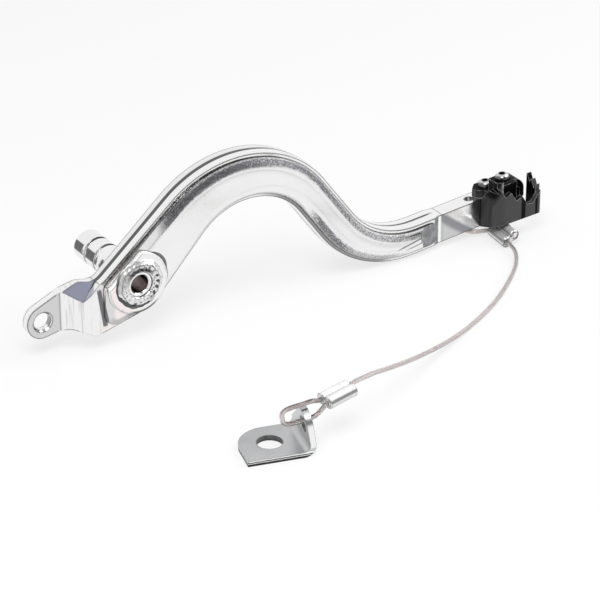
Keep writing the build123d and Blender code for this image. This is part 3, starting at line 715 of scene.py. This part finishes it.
coat_mat = coat_clear()
wire_mat = strand_steel()
rope_r = 1.0 * MM
strand_count = 6
strand_sides = 8
strand_r = 0.30 * MM
lay_r = 0.6 * MM
lay_pitch = 13.0 * MM


def spline(name, points_mm, radius=0.0):
    """One open NURBS curve with these control points, as a round tube if a radius is given."""
    data = bpy.data.curves.new(name, "CURVE")
    data.dimensions = "3D"
    data.resolution_u = 24
    line = data.splines.new("NURBS")
    line.points.add(len(points_mm) - 1)
    for p, c in zip(line.points, points_mm):
        p.co = (c[0] * MM, c[1] * MM, c[2] * MM, 1.0)
    line.order_u = 3
    line.use_endpoint_u = True
    if radius:
        data.bevel_depth = radius
        data.bevel_resolution = 5
        data.use_fill_caps = True
    return add_object(name, data)


def centreline(name, points_mm):
    """Points along the NURBS line, as Blender evaluates it."""
    bare = spline(name + ".line", points_mm)
    mesh = bpy.data.meshes.new_from_object(bare)
    pts = [v.co.copy() for v in mesh.vertices]
    bpy.data.objects.remove(bare)
    bpy.data.meshes.remove(mesh)
    return pts


def carried_frames(pts):
    """Each point with two directions across the line, carried along it without twist."""
    side = None
    frames = []
    for i, p in enumerate(pts):
        ahead = (pts[min(i + 1, len(pts) - 1)] - pts[max(i - 1, 0)]).normalized()
        side = ahead.orthogonal() if side is None else side
        side = (side - ahead * side.dot(ahead)).normalized()
        frames.append((p, side.copy(), ahead.cross(side)))
    return frames


def strands(name, points_mm):
    """Six strands laid round the rope's centre line, and the core between them."""
    pts = centreline(name, points_mm)
    run = [0.0]
    for a, b in zip(pts, pts[1:]):
        run.append(run[-1] + (b - a).length)
    frames = carried_frames(pts)
    bm = bmesh.new()
    for k in range(strand_count + 1):
        out = 0.0 if k == strand_count else lay_r
        rows = []
        for (p, u, v), s in zip(frames, run):
            turn = 2 * math.pi * (s / lay_pitch + k / strand_count)
            mid = p + out * (u * math.cos(turn) + v * math.sin(turn))
            row = []
            for j in range(strand_sides):
                a = 2 * math.pi * j / strand_sides
                row.append(bm.verts.new(mid + strand_r * (u * math.cos(a) + v * math.sin(a))))
            rows.append(row)
        for r0, r1 in zip(rows, rows[1:]):
            for j in range(strand_sides):
                after = (j + 1) % strand_sides
                bm.faces.new((r0[j], r0[after], r1[after], r1[j]))
        bm.faces.new(rows[0][::-1])
        bm.faces.new(rows[-1])
    return smooth_object(name, bm, wire_mat)


def rope(name, node, points_mm):
    coat = spline(name + "_coat", points_mm, rope_r)
    coat.data.materials.append(coat_mat)
    core = strands(name + "_strands", points_mm)
    for piece in (coat, core):
        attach(piece, "pedal")
    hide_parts(node)
    return coat, core


# Tether's control points in mm: the part's own rope points, and the leads out of its two ferrules
route = [
    (188.277, -20.41, -27.354),
    (187.509, -27.367, -27.354),
    (182.0, -36.3, -28.7),
    (172.0, -46.0, -29.0),
    (150.0, -63.2, -29.0),
    (122.0, -77.5, -29.0),
    (94.0, -91.6, -23.6),
    (66.0, -108.3, -13.6),
    (46.144, -115.749, -8.366),
    (35.265, -116.816, -9.592),
]
tether, tether_core = rope("tether", "tether_rope", route)

# Loops in mm, each from one barrel of its ferrule round to the other
toe_loop = [
    (189.835, -6.296, -27.354),
    (189.2, -5.9, -27.35),
    (182.0, -3.6, -27.3),
    (179.1, -0.6, -27.3),
    (179.1, 6.5, -27.3),
    (181.0, 9.2, -26.2),
    (186.0, 9.9, -23.8),
    (191.0, 9.2, -21.4),
    (192.8, 6.0, -20.6),
    (192.8, 0.0, -20.6),
    (192.8, -3.8, -20.7),
    (193.1, -5.4, -22.4),
    (193.35, -6.0, -24.3),
    (193.281, -6.676, -24.646),
]
rope("toe_eye", "toe_eye", toe_loop)

tab_loop = [
    (21.221, -118.193, -11.175),
    (19.6, -118.9, -11.0),
    (15.2, -121.6, -8.2),
    (11.0, -121.28, -8.53),
    (4.6, -119.54, -9.57),
    (1.9, -118.8, -11.2),
    (2.1, -118.86, -13.75),
    (2.5, -118.97, -16.2),
    (5.3, -119.73, -17.15),
    (11.9, -121.52, -16.07),
    (16.2, -122.5, -15.3),
    (20.3, -122.75, -11.5),
    (21.65, -122.572, -11.175),
]
tab_coat, tab_core = rope("tab_eye", "tab_eye", tab_loop)


def stub(name, points_mm):
    """Cut end of the rope, standing a little out of its barrel."""
    obj = strands(name, points_mm)
    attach(obj, "pedal")
    return obj


toe_end = [(191.756, -20.492, -24.645), (191.712, -20.889, -24.645), (191.663, -21.337, -24.645)]
tab_end = [(35.397, -121.224, -9.625), (35.793, -121.185, -9.581), (36.238, -121.142, -9.531)]
stub("toe_stub", toe_end)
tab_stub = stub("tab_stub", tab_end)

# Stage: a pale floor that keeps the shadow, a white surround, soft lamps
floor_z = -30.1 * MM
floor_half = 3.0
floor_colour = grey(0.8)
floor_white = 0.68
world_strength = 0.55
flag_axis = (0.0, -0.88, 0.475)
flag_start, flag_full = 0.66, 0.96
flag_strength = 0.10
white = grey(1.0)


def largest(tree, a, b):
    n = tree.nodes.new("ShaderNodeMath")
    n.operation = "MAXIMUM"
    tree.links.new(a, n.inputs[0])
    tree.links.new(b, n.inputs[1])
    return n.outputs[0]


def seen_white(tree):
    """1 for camera, glossy and transmission rays."""
    path = tree.nodes.new("ShaderNodeLightPath")
    total = path.outputs["Is Camera Ray"]
    for other in ("Is Glossy Ray", "Is Transmission Ray"):
        total = largest(tree, total, path.outputs[other])
    return total


def floor_pale():
    mat = bpy.data.materials.new("floor_pale")
    mat.use_nodes = True
    tree = mat.node_tree
    tree.nodes.remove(tree.nodes["Principled BSDF"])
    diffuse = tree.nodes.new("ShaderNodeBsdfDiffuse")
    diffuse.inputs["Color"].default_value = floor_colour
    glow = tree.nodes.new("ShaderNodeEmission")
    tree.links.new(seen_white(tree), glow.inputs["Strength"])
    lit = tree.nodes.new("ShaderNodeMixShader")
    lit.inputs[0].default_value = floor_white
    tree.links.new(diffuse.outputs[0], lit.inputs[1])
    tree.links.new(glow.outputs[0], lit.inputs[2])
    tree.links.new(lit.outputs[0], tree.nodes["Material Output"].inputs["Surface"])
    return mat


def flag_dark(tree):
    """1 all round, but dark in front of the part, so that its polished flanks have something to show."""
    facing = tree.nodes.new("ShaderNodeVectorMath")
    facing.operation = "DOT_PRODUCT"
    facing.inputs[1].default_value = flag_axis
    tree.links.new(tree.nodes.new("ShaderNodeTexCoord").outputs["Generated"], facing.inputs[0])
    flag = tree.nodes.new("ShaderNodeMapRange")
    flag.interpolation_type = "SMOOTHSTEP"
    for socket, v in zip(flag.inputs, (0.0, flag_start, flag_full, 1.0, flag_strength)):
        socket.default_value = v
    tree.links.new(facing.outputs["Value"], flag.inputs[0])
    return flag.outputs[0]


def studio():
    world = bpy.data.worlds.new("studio")
    bpy.context.scene.world = world
    world.use_nodes = True
    tree = world.node_tree
    plain = tree.nodes["Background"]
    plain.inputs["Color"].default_value = white
    plain.inputs["Strength"].default_value = world_strength
    seen = tree.nodes.new("ShaderNodeBackground")
    seen.inputs["Color"].default_value = white
    camera_ray = tree.nodes.new("ShaderNodeLightPath").outputs["Is Camera Ray"]
    tree.links.new(largest(tree, flag_dark(tree), camera_ray), seen.inputs["Strength"])
    blend = tree.nodes.new("ShaderNodeMixShader")
    tree.links.new(seen_white(tree), blend.inputs[0])
    tree.links.new(plain.outputs[0], blend.inputs[1])
    tree.links.new(seen.outputs[0], blend.inputs[2])
    tree.links.new(blend.outputs[0], tree.nodes["World Output"].inputs["Surface"])


def lamp(name, at, aim, size, watts):
    data = bpy.data.lights.new(name, "AREA")
    data.shape = "DISK"
    data.size = size
    data.energy = watts
    obj = add_object(name, data)
    obj.location = at
    obj.rotation_euler = (Vector(aim) - Vector(at)).to_track_quat("-Z", "Y").to_euler()


floor_mesh = bpy.data.meshes.new("floor")
corners = [(-1, -1), (1, -1), (1, 1), (-1, 1)]
floor_mesh.from_pydata([(a * floor_half, b * floor_half, floor_z) for a, b in corners], [], [(0, 1, 2, 3)])
floor_mesh.materials.append(floor_pale())
floor = add_object("floor", floor_mesh)
studio()
lamp_aim = (0.08, -0.03, 0.0)
lamp("key", at=(-0.35, -0.55, 1.0), aim=lamp_aim, size=0.7, watts=9.0)
lamp("fill", at=(0.9, -0.3, 0.7), aim=lamp_aim, size=0.8, watts=5.0)

# Camera at the photograph's angle
camera_place = Vector((-582.905, -1032.996, 617.579)) * MM
camera_right = Vector((0.83867, -0.54464, 0.0))
camera_back = Vector((-0.48089, -0.74050, 0.46947))
camera_up = camera_back.cross(camera_right)
shot = bpy.data.cameras.new("camera")
shot.sensor_width = 36.0
shot.lens = 186.0
shot.clip_start = 0.05
camera = add_object("camera", shot)
camera_turn = Matrix((camera_right, camera_up, camera_back)).transposed().to_4x4()
camera.matrix_world = Matrix.Translation(camera_place) @ camera_turn
bpy.context.scene.camera = camera
bpy.context.scene.view_settings.view_transform = "Standard"
